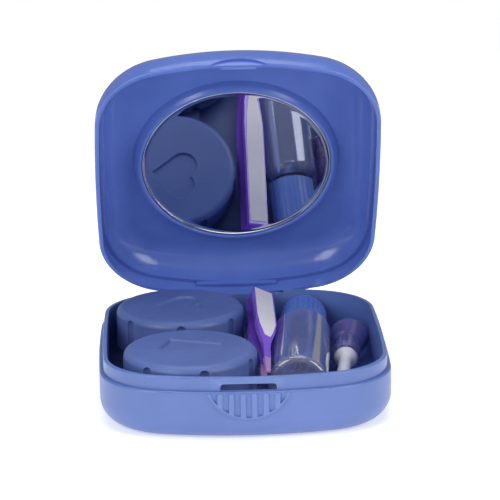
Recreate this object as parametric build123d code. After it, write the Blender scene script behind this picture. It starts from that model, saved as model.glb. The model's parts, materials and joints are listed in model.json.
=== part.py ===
from build123d import *
import math
import os

# Contact lens travel case: a clamshell tray and mirror lid holding two screw-capped lens
# pots, a solution bottle, soft-tipped tweezers and a suction applicator.
# Millimetres. Origin: bottom centre of the tray. +Z up, -Y the catch side, +Y the hinge.

# --- tray and lid -------------------------------------------------------------------
case_width = 66.0
case_depth = 72.0
corner_radius = 16.8
front_arc_radius = 85.0  # gentle bulge of the front and back edges
side_arc_radius = 518.0  # much gentler bulge of the two sides
base_height = 11.4  # up to the ledge that the lid closes on
bottom_radius = 5.5
ledge_edge_radius = 0.5
floor_thickness = 1.6
lip_inset = 0.9
lip_thickness = 0.9
lip_height = 3.1
tray_corner_radius = 2.5
rim_height = base_height + lip_height
cavity_inset = lip_inset + lip_thickness

lid_overhang = 0.3
lid_height = 11.0
lid_edge_radius = 9.5
lid_inner_radius = 6.3
lid_wall_inset = 1.75
lid_ceiling = 9.7  # inner height above the lid rim
lid_gap = 0.05  # between ledge and lid rim when closed
lip_clearance = 0.2
lid_open_angle = 62.3  # how far open the lid stands at rest
lid_rim = base_height + lid_gap
ceiling_z = lid_rim + lid_ceiling

# --- hinge --------------------------------------------------------------------------
hinge_y = case_depth / 2 + 0.9
hinge_z = base_height + 0.6
barrel_radius = 1.7
barrel_clearance = 0.25
knuckle_half = 9.75
ear_start = 9.9
ear_end = 12.8
pin_radius = 0.6
pin_half = 12.3
knuckle_bore = 0.65

# --- catch --------------------------------------------------------------------------
slot_half = 6.15
slot_height = 1.6
slot_corner = 0.7
panel_half = 7.6
panel_depth = 0.2
tab_half = 3.9
tab_height = 1.35
tab_reach = 0.5  # how far the tab enters the slot past the outer face of the lip
pad_radius = 10.0
pad_drop = 6.2
pad_proud = 0.45
pad_border = 0.5
flute_pitch = 2.53
flute_radius = 0.8
flute_depth = 0.42

# --- mirror -------------------------------------------------------------------------
mirror_radius = 22.3
mirror_centre_y = 1.1
glass_thickness = 1.3
bevel_width = 0.8
bevel_depth = 0.4
adhesive_radius = 20.0
adhesive_thickness = 0.15
bezel_height = 1.8
bezel_inner = 22.45

# --- lens pots ----------------------------------------------------------------------
pots_x = -13.2
pots_y = -0.7
pots_turn = 2.9  # the pair lies slightly askew in the tray
pot_pitch = 34.0
pot_outer = 13.0
pot_foot_radius = 1.8
pot_shoulder = 7.0
pot_flange = 13.7
neck_radius = 12.8
neck_top = 14.4
ridge_height = 0.5
well_radius = 11.4
well_floor = 3.0
well_side_start = 8.0
web_width = 11.0
web_thickness = 2.0
cap_radius = 15.0
cap_top = 16.2
cap_shoulder = 1.8  # rounding of the cap's top edge
cap_bore = 13.6
cap_skirt_bottom = 7.25
liner_radius = 12.9
liner_thickness = 0.5
grip_notches = 7
grip_notch_radius = 1.25
grip_notch_top = 14.3
heart_size = 12.2
mark_depth = 0.6
mark_draft = 35

# --- solution bottle ----------------------------------------------------------------
bottle_x = 11.45
bottle_y = -23.6
bottle_turn = 4.8
bottle_radius = 6.8
bottle_wall = 0.9
bottle_gap = 0.2  # air between the bottle and the tray floor
bottle_z = floor_thickness + bottle_radius + bottle_gap
bottle_straight = 37.5
shoulder_height = 3.2
bottle_neck = 4.2
bottle_bore = 3.2
bottle_neck_end = 47.0
bottle_cap_radius = 5.5
bottle_cap_start = 41.4
bottle_cap_end = 54.0
bottle_cap_bore = 4.75
bottle_cap_ribs = 28

# --- tweezers -----------------------------------------------------------------------
tweezers_x = 4.65
tweezers_z = 12.9
tweezers_roll = 23.0
tweezers_turn = -1.0
tweezers_width = 5.1
bend_start = 30.4
bend_end = 32.2
arm_outer = 2.6  # half thickness over both arms at the bend
arm_inner = 1.3
arm_neck = 0.85
arm_tip = -20.0
tip_end = -29.0
tip_offset = 1.05
tip_section = (1.5, 1.05)
tip_taper = 1.4
grip_border = 0.35
grip_inset = 0.45
grip_proud = 0.12

# --- applicator ---------------------------------------------------------------------
cup_x = 26.0
cup_y = 18.3
cup_z = 6.75
applicator_turn = 7.7
applicator_tilt = 4.0
applicator_length = 44.5
cup_radius = 4.75
sleeve_radius = 3.25


def outline(inset):
    """Plan outline of the case as a face, moved inward by inset."""
    front = Circle(front_arc_radius - inset)
    side = Circle(side_arc_radius - inset)
    shift_y = front_arc_radius - case_depth / 2
    shift_x = side_arc_radius - case_width / 2
    face = Pos(0, shift_y) * front & Pos(0, -shift_y) * front
    face &= Pos(shift_x, 0) * side & Pos(-shift_x, 0) * side
    return fillet(face.vertices(), corner_radius - inset)


def slab(inset, bottom, top):
    """The plan outline extruded between two heights."""
    return extrude(Pos(0, 0, bottom) * outline(inset), top - bottom)


def across_x(profile, start, end):
    """A profile drawn in (y, z), extruded along X."""
    return extrude(Plane.YZ.offset(start) * profile, end - start)


def across_y(profile, start, end):
    """A profile drawn in (x, z), extruded along Y."""
    return extrude(Plane.XZ.offset(-end) * profile, end - start)


def turned(points):
    """A closed (radius, height) outline turned about Z."""
    return revolve(Plane.XZ * make_face(Polyline(*points, close=True)), Axis.Z)


def front_face_y(x):
    """Y of the front outer face of the tray at a given x."""
    return front_arc_radius - case_depth / 2 - math.sqrt(front_arc_radius**2 - x**2)


# --- tray ---------------------------------------------------------------------------


def thumb_pad():
    """Fluted circular segment standing proud of the front face."""
    centre_z = base_height - pad_drop + pad_radius
    ring = slab(-pad_proud, 0, base_height - 0.3) - slab(1.0, 0, base_height)
    segment = Pos(0, centre_z) * Circle(pad_radius)
    pad = ring & across_y(segment, -case_depth, 0)
    inner = across_y(Pos(0, centre_z) * Circle(pad_radius - pad_border), -case_depth, 0)
    for k in range(-3, 4):
        x = k * flute_pitch
        y = front_face_y(x) - pad_proud + flute_depth - flute_radius
        flute = Pos(x, y, centre_z / 2) * Cylinder(flute_radius, 2 * centre_z)
        pad -= flute & inner
    return pad


def base_shell():
    body = slab(0, 0, base_height)
    body = fillet(body.edges().group_by(Axis.Z)[0], bottom_radius)
    body = fillet(body.edges().group_by(Axis.Z)[-1], ledge_edge_radius)
    lip = slab(lip_inset, base_height - 1, rim_height)
    lip = fillet(lip.edges().group_by(Axis.Z)[-1], 0.3)
    body += lip
    tray = slab(cavity_inset, floor_thickness, rim_height + 1)
    tray = fillet(tray.edges().group_by(Axis.Z)[0], tray_corner_radius)
    body -= tray
    body += thumb_pad()
    # catch panel and slot
    lip_face = -case_depth / 2 + lip_inset
    panel = Pos(0, rim_height) * Rectangle(2 * panel_half, 2 * lip_height - 0.4)
    body -= across_y(panel, lip_face - 1, lip_face + panel_depth)
    slot = Pos(0, base_height) * Rectangle(2 * slot_half, 2 * slot_height)
    slot = fillet(slot.vertices(), slot_corner)
    slot &= Pos(0, base_height + 5) * Rectangle(40, 10)
    body -= across_y(slot, lip_face - 1, lip_face + 2)
    # notch in the back of the lip, then the hinge ears
    notch = Pos(0, rim_height) * Rectangle(22.4, 2.4)
    body -= across_y(notch, case_depth / 2 - 4, case_depth / 2)
    barrel = Pos(hinge_y, hinge_z) * Circle(barrel_radius)
    relief = Pos(hinge_y, hinge_z) * Circle(barrel_radius + barrel_clearance)
    body -= across_x(relief, -ear_start, ear_start)
    root = [(34.3, 6.8), (34.3, 11.35), (38.45, 11.35), (38.25, 10.7)]
    gusset = make_face(Polyline(*root, close=True))
    hole = Pos(hinge_y, hinge_z) * Circle(pin_radius)
    for start, end in ((ear_start, ear_end), (-ear_end, -ear_start)):
        body += across_x(gusset, start, end) + across_x(barrel, start, end)
    body -= across_x(hole, -pin_half, pin_half)
    return body


def hinge_pin():
    pin = across_x(Pos(hinge_y, hinge_z) * Circle(pin_radius), -pin_half, pin_half)
    return chamfer(pin.edges(), 0.1)


# --- lid (drawn closed, then swung to its rest angle) -------------------------------


def swing_open(shape):
    return shape.rotate(Axis((0, hinge_y, hinge_z), (1, 0, 0)), -lid_open_angle)


def mirror_bezel():
    """Raised ring round the mirror, with a concave foot running into the ceiling."""
    foot = [(24.1, 0.75), (24.35, 0.35), (24.75, 0.0)]
    ring = [(bezel_inner, 0.0), (bezel_inner, bezel_height - 0.15)]
    ring += [(bezel_inner + 0.15, bezel_height), (23.15, bezel_height)]
    ring += [(23.5, bezel_height - 0.35), (23.75, 1.2), *foot]
    solid = turned([(r, 0.3 - h if h == 0 else -h) for r, h in ring])
    return Pos(0, mirror_centre_y, ceiling_z) * solid


def lid_shell():
    shell = slab(-lid_overhang, lid_rim, lid_rim + lid_height)
    shell = fillet(shell.edges().group_by(Axis.Z)[-1], lid_edge_radius)
    shell = fillet(shell.edges().group_by(Axis.Z)[0], 0.35)
    shell -= slab(lip_inset - lip_clearance, lid_rim - 1, lid_rim + lip_height + 0.3)
    inside = slab(lid_wall_inset, lid_rim - 1, ceiling_z)
    inside = fillet(inside.edges().group_by(Axis.Z)[-1], lid_inner_radius)
    shell -= inside
    shell += mirror_bezel()
    # finger scallop in the front rim, and the catch tab behind it
    scallop_radius = 12.6
    arch = Pos(0, lid_rim + 1.8 - scallop_radius) * Circle(scallop_radius)
    front = -case_depth / 2 - lid_overhang
    shell -= across_y(arch, front - 2, front + 0.55)
    tab = Pos(0, lid_rim + tab_height / 2) * Rectangle(2 * tab_half, tab_height)
    lip_face = -case_depth / 2 + lip_inset
    shell += across_y(tab, front + 0.6, lip_face + tab_reach)
    # the lip recess is filled beside the hinge, where the lip is notched
    filled = [(34.2, 13.7), (34.2, 14.95), (35.5, 14.95), (35.5, 13.7)]
    shell += across_x(make_face(Polyline(*filled, close=True)), -knuckle_half, knuckle_half)
    # hinge knuckle, room for the two ears, and the pin bore
    knuckle = Pos(hinge_y, hinge_z) * Circle(barrel_radius)
    leaf = [(35.5, 12.0), (35.5, 16.0), (36.0, 16.2), (38.3, 13.0), (38.0, 12.0)]
    knuckle += make_face(Polyline(*leaf, close=True))
    shell += across_x(knuckle, -knuckle_half, knuckle_half)
    room = Pos(hinge_y, hinge_z) * Circle(barrel_radius + barrel_clearance)
    for side in (-1, 1):
        low, high = sorted((side * knuckle_half, side * (ear_end + 0.3)))
        shell -= across_x(room, low, high)
    bore = Pos(hinge_y, hinge_z) * Circle(knuckle_bore)
    shell -= across_x(bore, -ear_end - 1, ear_end + 1)
    return swing_open(shell)


def mirror_glass():
    top = ceiling_z - adhesive_thickness
    glass = Cylinder(mirror_radius, glass_thickness)
    glass = Pos(0, mirror_centre_y, top - glass_thickness / 2) * glass
    front = glass.faces().sort_by(Axis.Z)[0]
    glass = chamfer(front.edges(), bevel_width, bevel_depth, reference=front)
    return swing_open(glass)


def mirror_adhesive():
    pad = Cylinder(adhesive_radius, adhesive_thickness)
    return swing_open(Pos(0, mirror_centre_y, ceiling_z - adhesive_thickness / 2) * pad)


# --- lens pots ----------------------------------------------------------------------

pots_place = Pos(pots_x, pots_y) * Rot(0, 0, pots_turn)
well_places = {
    "rear": pots_place * Pos(0, pot_pitch / 2),
    "front": pots_place * Pos(0, -pot_pitch / 2),
}


def lens_well():
    """One well, about Z: foot, flange for the cap to stop on, neck with its thread ridge."""
    bottom = floor_thickness
    outer = Pos(0, 0, (bottom + pot_shoulder) / 2) * Cylinder(pot_outer, pot_shoulder - bottom)
    outer = fillet(outer.edges().group_by(Axis.Z)[0], pot_foot_radius)
    outer += Pos(0, 0, pot_shoulder - 0.6) * Cylinder(pot_flange, 1.2)
    neck_height = neck_top - pot_shoulder
    outer += Pos(0, 0, pot_shoulder + neck_height / 2) * Cylinder(neck_radius, neck_height)
    for z in (9.4, 12.0):
        crest = neck_radius + ridge_height
        ridge = [(neck_radius - 0.5, z - 0.6), (crest, z - 0.15), (crest, z + 0.15)]
        outer += turned([*ridge, (neck_radius - 0.5, z + 0.6)])
    return outer


def well_hollow():
    """Dished hollow of one well: straight side over a spherical floor."""
    drop = well_side_start - well_floor
    dish_radius = (well_radius**2 + drop**2) / (2 * drop)
    side_height = neck_top + 1 - well_side_start
    hollow = Pos(0, 0, well_side_start + side_height / 2) * Cylinder(well_radius, side_height)
    dish = Pos(0, 0, well_floor + dish_radius) * Sphere(dish_radius)
    dish &= Pos(0, 0, well_side_start - drop) * Cylinder(2 * well_radius, 2 * drop)
    return hollow + dish


def lens_pot_body():
    body = extrude(Rectangle(web_width, pot_pitch), web_thickness)
    body = Pos(0, 0, floor_thickness + 1.6) * body
    for side in (-1, 1):
        body += Pos(0, side * pot_pitch / 2) * lens_well()
    for side in (-1, 1):
        body -= Pos(0, side * pot_pitch / 2) * well_hollow()
    return pots_place * body


def cap_liner():
    return Pos(0, 0, neck_top + liner_thickness / 2) * Cylinder(liner_radius, liner_thickness)


def lens_cap():
    """Screw cap about Z: flat face, rounded shoulder, scooped grip notches in the skirt."""
    height = cap_top - cap_skirt_bottom
    cap = Pos(0, 0, cap_skirt_bottom + height / 2) * Cylinder(cap_radius, height)
    cap = fillet(cap.edges().group_by(Axis.Z)[-1], cap_shoulder)
    liner_top = neck_top + liner_thickness
    bore_height = liner_top - cap_skirt_bottom + 1
    cap -= Pos(0, 0, liner_top - bore_height / 2) * Cylinder(cap_bore, bore_height)
    for k in range(grip_notches):
        scoop = Cylinder(grip_notch_radius, grip_notch_top)
        scoop = Pos(0, 0, grip_notch_top / 2) * scoop + Pos(0, 0, grip_notch_top) * Sphere(grip_notch_radius)
        cap -= Rot(0, 0, 360 * k / grip_notches) * Pos(cap_radius + 0.35, 0) * scoop
    return cap


def recess(outline_face):
    """Cutter for a shallow mark in a cap's face, its walls sloping inward."""
    return Pos(0, 0, cap_top) * extrude(outline_face, -mark_depth, taper=mark_draft)


def heart(size):
    """Plain heart outline along X with its point at -X: two lobes on a quarter-turned square."""
    side = 0.586 * size
    square = Rot(0, 0, 45) * Rectangle(side, side)
    shift = side / 2 * math.sqrt(0.5)
    lobes = Pos(shift, shift) * Circle(side / 2) + Pos(shift, -shift) * Circle(side / 2)
    return Pos(-0.08 * size, 0) * (square + lobes)


def rear_lens_cap():
    cap = Rot(0, 0, 10.0) * lens_cap()
    cap -= recess(Pos(0, 1.3) * Rot(0, 0, 5.0) * heart(heart_size))
    return well_places["rear"] * cap


def front_lens_cap():
    """The second cap is told apart by a plain recessed right-angle mark."""
    cap = Rot(0, 0, 21.0) * lens_cap()
    corner = [(-6.7, -3.0), (-6.7, 5.2), (6.0, 5.2), (6.0, 3.7), (-5.2, 3.7), (-5.2, -3.0)]
    cap -= recess(Rot(0, 0, -22.4) * make_face(Polyline(*corner, close=True)))
    return well_places["front"] * cap


# --- solution bottle (drawn standing, then laid down) -------------------------------

bottle_place = Pos(bottle_x, bottle_y, bottle_z) * Rot(0, 0, -bottle_turn) * Rot(-90, 0, 0)


def bottle_body():
    """Clear bottle with a domed-in bottom, round shoulder and threaded neck."""
    neck_start = bottle_straight + shoulder_height
    outside = Pos(0, 0, neck_start / 2) * Cylinder(bottle_radius, neck_start)
    outside = fillet(outside.edges().group_by(Axis.Z)[-1], shoulder_height - 0.4)
    outside = fillet(outside.edges().group_by(Axis.Z)[0], 1.2)
    punt = Pos(0, 0, -11.0) * Sphere(12.2)
    outside -= punt
    inside_length = neck_start - 3.0
    hollow = Cylinder(bottle_radius - bottle_wall, inside_length)
    hollow = fillet(hollow.edges().group_by(Axis.Z)[-1], 2.2)
    hollow = fillet(hollow.edges().group_by(Axis.Z)[0], 0.8)
    outside -= Pos(0, 0, 2.1 + inside_length / 2) * hollow
    neck_length = bottle_neck_end - neck_start + 1
    neck = Pos(0, 0, bottle_neck_end - neck_length / 2) * Cylinder(bottle_neck, neck_length)
    for z in (43.0, 45.2):
        crest = bottle_neck + 0.35
        ridge = [(bottle_neck - 0.4, z - 0.5), (crest, z - 0.12), (crest, z + 0.12)]
        neck += turned([*ridge, (bottle_neck - 0.4, z + 0.5)])
    bottle = outside + neck
    bottle -= Pos(0, 0, bottle_neck_end - 4) * Cylinder(bottle_bore, 12)
    return bottle_place * bottle


def bottle_dropper_plug():
    """Dropper insert pressed into the neck, with a fine hole through its nozzle."""
    low = bottle_neck_end - 5.0
    flange = bottle_neck_end + 0.7
    profile = [(0, low), (bottle_bore, low), (bottle_bore, bottle_neck_end)]
    profile += [(4.0, bottle_neck_end), (4.0, flange), (1.7, flange)]
    profile += [(1.1, flange + 3.2), (0, flange + 3.2)]
    plug = turned(profile)
    plug -= Pos(0, 0, low + 1.5) * Cylinder(2.4, 5.0)
    return bottle_place * (plug - Pos(0, 0, flange) * Cylinder(0.4, 12))


def bottle_cap_liner():
    low = bottle_neck_end + 0.7
    ring = [(2.1, low), (4.6, low), (4.6, low + 0.5), (2.1, low + 0.5)]
    return bottle_place * turned(ring)


def bottle_cap():
    """Ribbed screw cap; its inner post hole clears the nozzle."""
    length = bottle_cap_end - bottle_cap_start
    cap = Pos(0, 0, bottle_cap_start + length / 2) * Cylinder(bottle_cap_radius, length)
    cap = fillet(cap.edges().group_by(Axis.Z)[-1], 0.7)
    shelf = bottle_neck_end + 1.2
    bore_length = shelf - bottle_cap_start + 1
    cap -= Pos(0, 0, shelf - bore_length / 2) * Cylinder(bottle_cap_bore, bore_length)
    cap -= Pos(0, 0, shelf + 1.7) * Cylinder(2.1, 4.0)
    groove_length = length - 1.6
    for k in range(bottle_cap_ribs):
        groove = Cylinder(0.28, groove_length)
        groove = Pos(bottle_cap_radius + 0.1, 0, bottle_cap_start + groove_length / 2) * groove
        cap -= Rot(0, 0, 360 * k / bottle_cap_ribs) * groove
    return bottle_place * cap


# --- tweezers (drawn flat along Y with the tips at -Y, then rolled) ------------------

tweezers_place = Pos(tweezers_x, 0, tweezers_z) * Rot(0, 0, tweezers_turn) * Rot(0, tweezers_roll, 0)


def arm_plan():
    """Plan outline of one arm: broad handle, shoulders tapering to a narrow neck."""
    half = tweezers_width / 2
    right = [(half, bend_start), (half, 4.0), (half - 0.45, -2.0), (arm_neck + 0.2, -9.0)]
    right += [(arm_neck, -12.5), (arm_neck, arm_tip)]
    left = [(-x, y) for x, y in reversed(right)]
    return make_face(Polyline(*right, *left, close=True))


def arm_side(inner, outer):
    """Side profile of the upper arm between two offsets from its bowed centre line."""
    line = [(bend_start, 1.95), (14.0, 2.1), (2.0, 1.95), (-10.0, 1.3), (arm_tip, tip_offset)]
    top = Spline(*[(y, z + outer * (1 if y > 0 else 0.8)) for y, z in line])
    bottom = Spline(*[(y, z + inner * (1 if y > 0 else 0.8)) for y, z in line])
    ends = [Line(top @ 0, bottom @ 0), Line(top @ 1, bottom @ 1)]
    return make_face([top, bottom, *ends])


def flip(shape):
    """The same piece for the lower arm."""
    return mirror(shape, Plane.XY)


def upper_arm():
    half_thickness = (arm_outer - arm_inner) / 2
    arm = across_x(arm_side(-half_thickness, half_thickness), -4, 4)
    arm &= Pos(0, 0, -5) * extrude(arm_plan(), 15)
    pocket = Pos(0, 0, -5) * extrude(grip_plan(), 15)
    arm -= pocket & across_x(arm_side(half_thickness - grip_inset, half_thickness + 1), -4, 4)
    return arm


def grip_plan():
    """Plan outline of the grip inlay: square at the back, drawn to a point at the front."""
    half = tweezers_width / 2 - grip_border
    back = bend_start - 0.3
    points = [(half, back), (half, 3.0), (half - 0.7, -2.5)]
    points += [(0.9, -5.5), (-0.5, -5.0), (-half + 0.5, 1.5), (-half, 8.0)]
    points += [(-half, back)]
    return make_face(Polyline(*points, close=True))


def grip_pad():
    half_thickness = (arm_outer - arm_inner) / 2
    side = arm_side(half_thickness - grip_inset, half_thickness + grip_proud)
    return across_x(side, -4, 4) & Pos(0, 0, -5) * extrude(grip_plan(), 15)


def soft_tip():
    """Soft sleeve moulded on to the front of an arm, ending in a rounded point."""
    length = arm_tip - tip_end
    start = Pos(0, arm_tip, tip_offset) * Rot(90, 0, 0)
    tip = start * extrude(Rectangle(*tip_section), length, taper=tip_taper)
    return fillet(tip.edges().group_by(Axis.Y)[0], 0.15)


def tweezers_bend():
    """The closed rear end that joins the arms, rounded in plan and in side view."""
    length = bend_end - bend_start
    block = Pos((bend_start + bend_end) / 2, 0) * Rectangle(length, 2 * arm_outer)
    block = fillet(block.vertices().group_by(Axis.X)[-1], 1.4)
    block -= Pos(bend_start, 0) * Rectangle(1.3, 2 * arm_inner)
    bend = across_x(block, -tweezers_width / 2, tweezers_width / 2)
    plan = Pos(0, bend_end - 5) * Rectangle(tweezers_width, 10)
    plan = fillet(plan.vertices().group_by(Axis.Y)[-1], 1.5)
    bend &= Pos(0, 0, -5) * extrude(plan, 10)
    return tweezers_place * bend


# --- applicator (drawn standing, suction cup up, then laid down) ---------------------

applicator_lay = Rot(0, 0, -applicator_turn) * Rot(-90 + applicator_tilt, 0, 0)
applicator_front = Vector(cup_x, cup_y, cup_z) - Vector(
    math.sin(math.radians(applicator_turn)) * math.cos(math.radians(applicator_tilt)),
    math.cos(math.radians(applicator_turn)) * math.cos(math.radians(applicator_tilt)),
    math.sin(math.radians(applicator_tilt)),
) * applicator_length
applicator_place = Pos(*applicator_front) * applicator_lay


def applicator_stick():
    """Handle rod, slightly thicker at its free end, with a round plug for the sleeve."""
    profile = [(0, 0), (1.2, 0), (1.65, 0.5), (1.7, 4.0), (1.45, 28.0), (1.6, 29.2)]
    profile += [(2.5, 30.2), (2.85, 31.4), (2.85, 34.0), (2.3, 35.0), (0, 35.0)]
    return applicator_place * turned(profile)


def applicator_suction_cup():
    """Soft sleeve over the plug, flaring to a thin bell with a deep mouth."""
    end = applicator_length
    outer = [(sleeve_radius, 31.0), (sleeve_radius, 38.2), (3.65, 40.0), (4.2, 42.4)]
    outer += [(cup_radius, end)]
    inner = [(cup_radius - 0.4, end), (3.85, 42.6), (3.3, 40.1), (2.9, 39.2), (0, 39.0)]
    core = [(0, 35.0), (2.3, 35.0), (2.85, 34.0), (2.85, 31.0)]
    return applicator_place * turned([*outer, *inner, *core])


os.makedirs("parts", exist_ok=True)

arm_nodes = {
    "tweezers_upper_arm": upper_arm(),
    "tweezers_upper_grip": grip_pad(),
    "tweezers_upper_tip": soft_tip(),
    "tweezers_lower_arm": flip(upper_arm()),
    "tweezers_lower_grip": flip(grip_pad()),
    "tweezers_lower_tip": flip(soft_tip()),
}

nodes = {
    "base_shell": base_shell(),
    "hinge_pin": hinge_pin(),
    "lid_shell": lid_shell(),
    "mirror_glass": mirror_glass(),
    "mirror_adhesive": mirror_adhesive(),
    "lens_pot_body": lens_pot_body(),
    "rear_cap_liner": well_places["rear"] * cap_liner(),
    "rear_lens_cap": rear_lens_cap(),
    "front_cap_liner": well_places["front"] * cap_liner(),
    "front_lens_cap": front_lens_cap(),
    "bottle_body": bottle_body(),
    "bottle_dropper_plug": bottle_dropper_plug(),
    "bottle_cap_liner": bottle_cap_liner(),
    "bottle_cap": bottle_cap(),
    "tweezers_bend": tweezers_bend(),
    "applicator_stick": applicator_stick(),
    "applicator_suction_cup": applicator_suction_cup(),
}
for name, shape in arm_nodes.items():
    nodes[name] = tweezers_place * shape

for name, shape in nodes.items():
    export_step(shape, f"parts/{name}.step")
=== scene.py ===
import json
import math

import bmesh
import bpy
from mathutils import Matrix, Vector


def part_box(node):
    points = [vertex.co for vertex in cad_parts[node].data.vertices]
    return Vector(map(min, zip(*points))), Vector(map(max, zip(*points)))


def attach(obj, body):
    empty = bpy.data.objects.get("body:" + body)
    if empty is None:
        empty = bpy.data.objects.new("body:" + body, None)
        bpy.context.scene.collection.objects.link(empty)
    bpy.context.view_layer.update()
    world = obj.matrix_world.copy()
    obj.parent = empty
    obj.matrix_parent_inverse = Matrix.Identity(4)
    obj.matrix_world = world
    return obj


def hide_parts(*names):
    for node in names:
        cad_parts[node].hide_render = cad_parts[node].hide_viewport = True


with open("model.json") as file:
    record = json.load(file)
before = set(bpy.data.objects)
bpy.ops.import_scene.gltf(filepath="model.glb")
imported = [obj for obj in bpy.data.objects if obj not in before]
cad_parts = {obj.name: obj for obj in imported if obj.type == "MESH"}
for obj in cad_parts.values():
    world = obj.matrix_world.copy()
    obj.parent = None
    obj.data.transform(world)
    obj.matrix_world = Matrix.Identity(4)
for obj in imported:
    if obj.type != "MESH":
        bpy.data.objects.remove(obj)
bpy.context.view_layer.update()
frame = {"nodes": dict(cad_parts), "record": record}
nodes = frame["nodes"]
joints = {j["name"]: j for j in frame["record"]["behaviour"]["joints"]}

MM = 0.001


# --- camera -------------------------------------------------------------------------

CAMERA_AZIMUTH = -2.15
CAMERA_ELEVATION = 15.16
CAMERA_ROLL = -0.66
CAMERA_DISTANCE = 0.6
CAMERA_LENS = 189.2
CAMERA_TARGET = Vector((1.97, 0.0, 33.69)) * MM
SENSOR_WIDTH = 36.0


def make_camera():
    az, el = math.radians(CAMERA_AZIMUTH), math.radians(CAMERA_ELEVATION)
    back = Vector((math.sin(az) * math.cos(el), -math.cos(az) * math.cos(el), math.sin(el)))
    right = (-back).cross(Vector((0, 0, 1))).normalized()
    up = right.cross(-back)
    roll = math.radians(CAMERA_ROLL)
    right, up = (
        math.cos(roll) * right + math.sin(roll) * up,
        math.cos(roll) * up - math.sin(roll) * right,
    )
    data = bpy.data.cameras.new("camera")
    data.lens = CAMERA_LENS
    data.sensor_width = SENSOR_WIDTH
    data.clip_start = 0.01
    data.clip_end = 20.0
    cam = bpy.data.objects.new("camera", data)
    bpy.context.scene.collection.objects.link(cam)
    rotation = Matrix((right, up, back)).transposed().to_4x4()
    cam.matrix_world = Matrix.Translation(CAMERA_TARGET + back * CAMERA_DISTANCE) @ rotation
    bpy.context.scene.camera = cam


make_camera()


# --- materials ----------------------------------------------------------------------


def srgb(r, g, b):
    """Linear colour of an 0-255 sRGB one."""
    out = []
    for value in (r, g, b):
        value /= 255
        out.append(value / 12.92 if value <= 0.04045 else ((value + 0.055) / 1.055) ** 2.4)
    return (*out, 1.0)


class Nodes:
    """A small builder for a Principled material."""

    def __init__(self, name):
        self.material = bpy.data.materials.new(name)
        self.material.use_nodes = True
        self.tree = self.material.node_tree
        self.shader = self.tree.nodes["Principled BSDF"]
        self.coords = self.tree.nodes.new("ShaderNodeTexCoord").outputs["Object"]

    def node(self, kind, **settings):
        made = self.tree.nodes.new("ShaderNode" + kind)
        for key, value in settings.items():
            setattr(made, key, value)
        return made

    def link(self, source, target):
        self.tree.links.new(source, target)

    def set(self, **values):
        for key, value in values.items():
            self.shader.inputs[key.replace("_", " ")].default_value = value

    def noise(self, scale, detail=3.0, roughness=0.5):
        made = self.node("TexNoise")
        made.inputs["Scale"].default_value = scale
        made.inputs["Detail"].default_value = detail
        made.inputs["Roughness"].default_value = roughness
        self.link(self.coords, made.inputs["Vector"])
        return made.outputs["Fac"]

    def mapped(self, source, low, high, to_low, to_high):
        made = self.node("MapRange")
        for key, value in zip(("From Min", "From Max", "To Min", "To Max"), (low, high, to_low, to_high)):
            made.inputs[key].default_value = value
        self.link(source, made.inputs["Value"])
        return made.outputs["Result"]

    def mixed(self, factor, first, second):
        made = self.node("Mix", data_type="RGBA")
        self.link(factor, made.inputs["Factor"])
        made.inputs["A"].default_value = first
        made.inputs["B"].default_value = second
        return made.outputs["Result"]

    def bump(self, height, strength, distance):
        made = self.node("Bump")
        made.inputs["Strength"].default_value = strength
        made.inputs["Distance"].default_value = distance
        self.link(height, made.inputs["Height"])
        self.link(made.outputs["Normal"], self.shader.inputs["Normal"])


def moulded(name, light, dark, roughness, grain=0.03, edge=None):
    """Moulded plastic: cloudy colour drift, uneven sheen, fine grain, and a set edge colour laid on sharp
    convex edges.
    """
    n = Nodes(name)
    cloud = n.noise(70.0, 4.0)
    colour = n.mixed(n.mapped(cloud, 0.35, 0.65, 0.0, 1.0), dark, light)
    if edge:
        # Sharp convex edges, found by pointiness, are given the edge colour.
        geometry = n.node("NewGeometry")
        sharp_edge_mask = n.mapped(geometry.outputs["Pointiness"], 0.53, 0.62, 0.0, 0.6)
        mix = n.node("Mix", data_type="RGBA")
        n.link(sharp_edge_mask, mix.inputs["Factor"])
        n.link(colour, mix.inputs["A"])
        mix.inputs["B"].default_value = edge
        colour = mix.outputs["Result"]
    n.link(colour, n.shader.inputs["Base Color"])
    sheen = n.mapped(n.noise(260.0, 5.0), 0.3, 0.7, roughness - 0.05, roughness + 0.07)
    n.link(sheen, n.shader.inputs["Roughness"])
    n.bump(n.noise(5200.0, 2.0), grain, 0.00004)
    return n


tray_blue = moulded("tray_blue", srgb(88, 113, 178), srgb(82, 107, 171), 0.33, edge=srgb(114, 138, 198))
tray_blue.set(IOR=1.6)
# The lid is the same plastic as the tray, coloured bluer: painted light, the saturated bounce light
# inside the lid's hollow.
lid_blue_painted_bounce = moulded("lid_blue_painted_bounce", srgb(86, 112, 190), srgb(80, 105, 182), 0.2, edge=srgb(112, 138, 206))
lid_blue_painted_bounce.set(IOR=1.55)
pot_blue = moulded("pot_blue", srgb(78, 100, 160), srgb(72, 93, 152), 0.42, edge=srgb(104, 125, 180))
cap_blue = moulded(
    "cap_blue", srgb(80, 101, 162), srgb(74, 94, 154), 0.45, grain=0.08, edge=srgb(108, 126, 176)
)
bottle_cap_blue = moulded(
    "bottle_cap_blue", srgb(92, 126, 205), srgb(84, 117, 197), 0.38, edge=srgb(90, 114, 180)
)
grip_grey = moulded("grip_grey", srgb(222, 218, 224), srgb(212, 208, 216), 0.55, grain=0.1)
stick_white = moulded("stick_white", srgb(232, 232, 240), srgb(224, 224, 234), 0.3)
liner_white = moulded("liner_white", srgb(205, 208, 214), srgb(196, 200, 207), 0.5)
foam_white = moulded("foam_white", srgb(215, 212, 200), srgb(200, 198, 188), 0.8, grain=0.2)


def steel():
    n = moulded("pin_steel", srgb(180, 182, 186), srgb(165, 168, 172), 0.3)
    n.set(Metallic=1.0)
    return n


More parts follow.
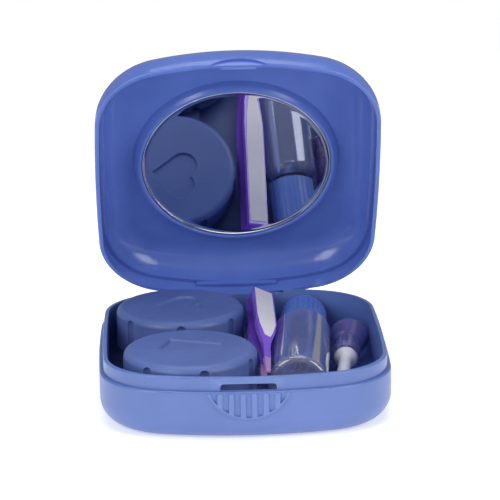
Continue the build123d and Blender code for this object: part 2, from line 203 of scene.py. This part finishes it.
def silvered():
    """Mirror: silvered face with a faint haze and a few dust specks."""
    n = Nodes("mirror_silver")
    n.set(Metallic=1.0)
    haze = n.mapped(n.noise(90.0, 5.0), 0.4, 0.75, 0.0, 1.0)
    n.link(n.mixed(haze, srgb(214, 219, 226), srgb(206, 211, 220)), n.shader.inputs["Base Color"])
    dust = n.mapped(n.noise(900.0, 3.0), 0.68, 0.8, 0.008, 0.16)
    n.link(dust, n.shader.inputs["Roughness"])
    return n


def clear(name, tint, roughness, ior=1.46, weight=1.0):
    """Clear or tinted plastic with faint moulding streaks."""
    n = Nodes(name)
    cloud = n.mapped(n.noise(120.0, 4.0), 0.35, 0.65, 0.0, 1.0)
    deeper = tuple(0.94 * c for c in tint[:3]) + (1.0,)
    n.link(n.mixed(cloud, tint, deeper), n.shader.inputs["Base Color"])
    sheen = n.mapped(n.noise(300.0, 4.0), 0.3, 0.7, roughness, roughness + 0.05)
    n.link(sheen, n.shader.inputs["Roughness"])
    n.set(Transmission_Weight=weight, IOR=ior)
    n.bump(n.noise(420.0, 2.0), 0.05, 0.0001)
    return n


bottle_clear = clear("bottle_clear", srgb(206, 214, 250), 0.04, weight=0.86)
bottle_clear.set(Coat_Weight=1.0, Coat_Roughness=0.04, Coat_IOR=1.6)
plug_natural = clear("plug_natural", srgb(225, 228, 236), 0.25, weight=0.7)
tweezers_purple = clear("tweezers_purple", srgb(150, 100, 236), 0.12, weight=0.2)
tweezers_purple.set(Coat_Weight=0.6, Coat_Roughness=0.06)
tip_purple = clear("tip_purple", srgb(196, 156, 218), 0.3, weight=0.4)
bell_lilac = clear("bell_lilac", srgb(184, 172, 240), 0.08, ior=1.41, weight=0.84)
bell_lilac.set(Coat_Weight=0.8, Coat_Roughness=0.05)

NODE_MATERIALS = {
    "base_shell": tray_blue,
    "lid_shell": lid_blue_painted_bounce,
    "hinge_pin": steel(),
    "mirror_glass": silvered(),
    "mirror_adhesive": foam_white,
    "lens_pot_body": pot_blue,
    "rear_lens_cap": cap_blue,
    "front_lens_cap": cap_blue,
    "rear_cap_liner": liner_white,
    "front_cap_liner": liner_white,
    "bottle_body": bottle_clear,
    "bottle_dropper_plug": plug_natural,
    "bottle_cap_liner": liner_white,
    "bottle_cap": bottle_cap_blue,
    "tweezers_bend": tweezers_purple,
    "tweezers_upper_arm": tweezers_purple,
    "tweezers_lower_arm": tweezers_purple,
    "tweezers_upper_grip": grip_grey,
    "tweezers_lower_grip": grip_grey,
    "tweezers_upper_tip": tip_purple,
    "tweezers_lower_tip": tip_purple,
    "applicator_stick": stick_white,
    "applicator_suction_cup": bell_lilac,
}


for name, made in NODE_MATERIALS.items():
    mesh = nodes[name].data
    mesh.materials.clear()
    mesh.materials.append(made.material)


# --- pieces finer than the frame's ---------------------------------------------------


def lathe(name, profile, steps=160):
    """A (radius, height) outline in millimetres turned about Z, as one closed smooth mesh."""
    build = bmesh.new()
    rings = []
    for radius, height in profile:
        if radius == 0:
            rings.append([build.verts.new((0, 0, height * MM))])
            continue
        turn = [2 * math.pi * k / steps for k in range(steps)]
        r = radius * MM
        rings.append([build.verts.new((r * math.cos(t), r * math.sin(t), height * MM)) for t in turn])
    for low, high in zip(rings, rings[1:]):
        for k in range(steps):
            j = (k + 1) % steps
            face = [low[k % len(low)], low[j % len(low)], high[j % len(high)], high[k % len(high)]]
            build.faces.new(list(dict.fromkeys(face)))
    bmesh.ops.recalc_face_normals(build, faces=build.faces)
    mesh = bpy.data.meshes.new(name)
    build.to_mesh(mesh)
    build.free()
    mesh.shade_smooth()
    piece = bpy.data.objects.new(name, mesh)
    bpy.context.scene.collection.objects.link(piece)
    return piece


# In millimetres. The face and back are heights from the middle of the glass, which looks
# towards -Z when the lid is closed. The rim is its radius.
MIRROR_FACE = -0.58
MIRROR_BACK = 0.64
MIRROR_RIM = 22.28


def make_mirror():
    """Silvered glass with a flat face, and an edge band rolled forward into the bezel, which
    catches the light as a bevelled edge does."""
    profile = [(0, MIRROR_FACE), (20.6, MIRROR_FACE), (21.1, MIRROR_FACE)]
    profile += [(21.2, -0.585), (21.45, -0.61), (21.7, -0.70), (21.9, -0.82), (22.05, -0.92)]
    profile += [(22.12, -0.95), (22.2, -0.95), (MIRROR_RIM, -0.88)]
    profile += [(MIRROR_RIM, 0.6), (22.2, MIRROR_BACK), (22.0, MIRROR_BACK), (0, MIRROR_BACK)]
    piece = lathe("round_mirror", profile)
    low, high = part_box("mirror_glass")
    opened = math.radians(joints["lid_hinge"]["range_deg"][0])
    piece.matrix_world = Matrix.Translation((low + high) / 2) @ Matrix.Rotation(opened, 4, "X")
    piece.data.materials.append(NODE_MATERIALS["mirror_glass"].material)
    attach(piece, "lid")
    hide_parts("mirror_glass")


make_mirror()


# --- floor, light -------------------------------------------------------------------


# In metres. The floor is a hair below the tray, so that the two faces don't coincide.
FLOOR_HALF = 0.4
FLOOR_DROP = 0.00002


def make_floor():
    mesh = bpy.data.meshes.new("floor")
    build = bmesh.new()
    bmesh.ops.create_grid(build, x_segments=1, y_segments=1, size=FLOOR_HALF)
    build.to_mesh(mesh)
    build.free()
    floor = bpy.data.objects.new("floor", mesh)
    floor.location = (0, 0, -FLOOR_DROP)
    bpy.context.scene.collection.objects.link(floor)
    n = Nodes("floor_white")
    n.set(Base_Color=(0.9, 0.9, 0.9, 1.0), Roughness=0.9)
    n.set(Emission_Color=(1, 1, 1, 1), Emission_Strength=0.4)
    mesh.materials.append(n.material)


LIGHT_AIM = Vector((0, 0, 0.03))


def area_light(name, place, size, power):
    data = bpy.data.lights.new(name, "AREA")
    data.shape = "RECTANGLE"
    data.size, data.size_y = size
    data.energy = power
    lamp = bpy.data.objects.new(name, data)
    lamp.location = place
    direction = LIGHT_AIM - Vector(place)
    lamp.rotation_euler = direction.to_track_quat("-Z", "Y").to_euler()
    bpy.context.scene.collection.objects.link(lamp)


ROOM_STRENGTH = 0.3


def make_world():
    """Dim room light, behind a backdrop that the camera sees as white."""
    world = bpy.data.worlds.new("studio")
    world.use_nodes = True
    tree = world.node_tree
    room = tree.nodes["Background"]
    room.inputs["Color"].default_value = (1.0, 1.0, 1.0, 1.0)
    room.inputs["Strength"].default_value = ROOM_STRENGTH
    backdrop = tree.nodes.new("ShaderNodeBackground")
    backdrop.inputs["Color"].default_value = (1.0, 1.0, 1.0, 1.0)
    backdrop.inputs["Strength"].default_value = 1.0
    path = tree.nodes.new("ShaderNodeLightPath")
    mix = tree.nodes.new("ShaderNodeMixShader")
    tree.links.new(path.outputs["Is Camera Ray"], mix.inputs["Fac"])
    tree.links.new(room.outputs["Background"], mix.inputs[1])
    tree.links.new(backdrop.outputs["Background"], mix.inputs[2])
    tree.links.new(mix.outputs["Shader"], tree.nodes["World Output"].inputs["Surface"])
    bpy.context.scene.world = world


make_floor()
area_light("left_softbox", (-0.55, -0.55, 0.45), (0.45, 0.55), 3.6)
area_light("right_softbox", (0.6, -0.5, 0.45), (0.45, 0.55), 3.4)
area_light("top_softbox", (0, 0.05, 0.8), (0.6, 0.6), 3.2)
make_world()
bpy.context.scene.view_settings.view_transform = "Standard"
